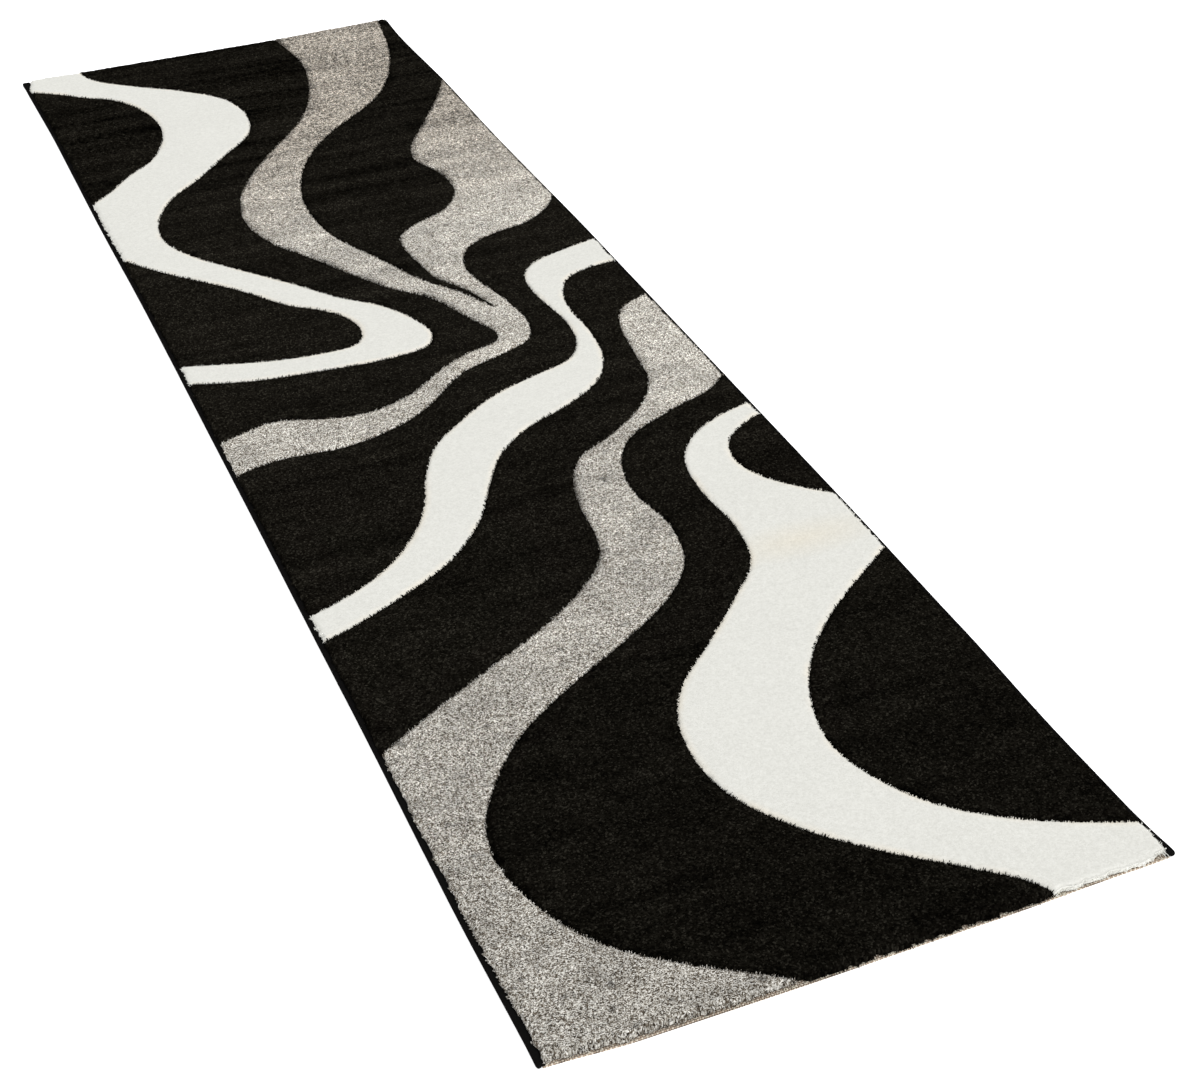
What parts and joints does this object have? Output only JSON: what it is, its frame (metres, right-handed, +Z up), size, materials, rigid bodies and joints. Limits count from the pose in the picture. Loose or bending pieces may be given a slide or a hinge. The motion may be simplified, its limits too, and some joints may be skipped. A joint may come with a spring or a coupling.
{
  "type": "runner rug",
  "caption": "Long flat runner rug with carved cut pile in flowing bands, overcast long sides and woven end headers.",
  "frame": {"origin": "middle of the rug's footprint, on the floor", "axes": "+Y runs along the rug to its far end, +X across it to its right long side, +Z up out of the pile"},
  "size_m": [0.8, 3, 0.013],
  "materials": {
    "black_pile": "matt cut pile, warm black",
    "white_pile": "matt cut pile, cream white",
    "grey_pile": "matt cut pile of mixed light and dark yarn, mottled warm grey",
    "overcast_yarn": "black overcasting yarn, wrapped close",
    "filler_cord": "undyed twisted cord",
    "ground_weave": "tan plain weave"
  },
  "bodies": {
    "root": {"ground_weave": "ground_weave", "near_end_header": "ground_weave", "far_end_header": "ground_weave", "left_overcast_edge": "overcast_yarn", "right_overcast_edge": "overcast_yarn", "left_edge_cord": "filler_cord", "right_edge_cord": "filler_cord", "far_left_black_cap": "black_pile", "far_white_band": "white_pile", "left_black_tongue": "black_pile", "far_black_band": "black_pile", "far_grey_fork": "grey_pile", "far_right_black_wedge": "black_pile", "upper_black_band": "black_pile", "middle_white_band": "white_pile", "middle_black_band": "black_pile", "near_grey_band": "grey_pile", "near_black_band": "black_pile", "near_white_band": "white_pile", "right_black_lens": "black_pile", "near_right_black_bay": "black_pile"}
  },
  "joints": []
}
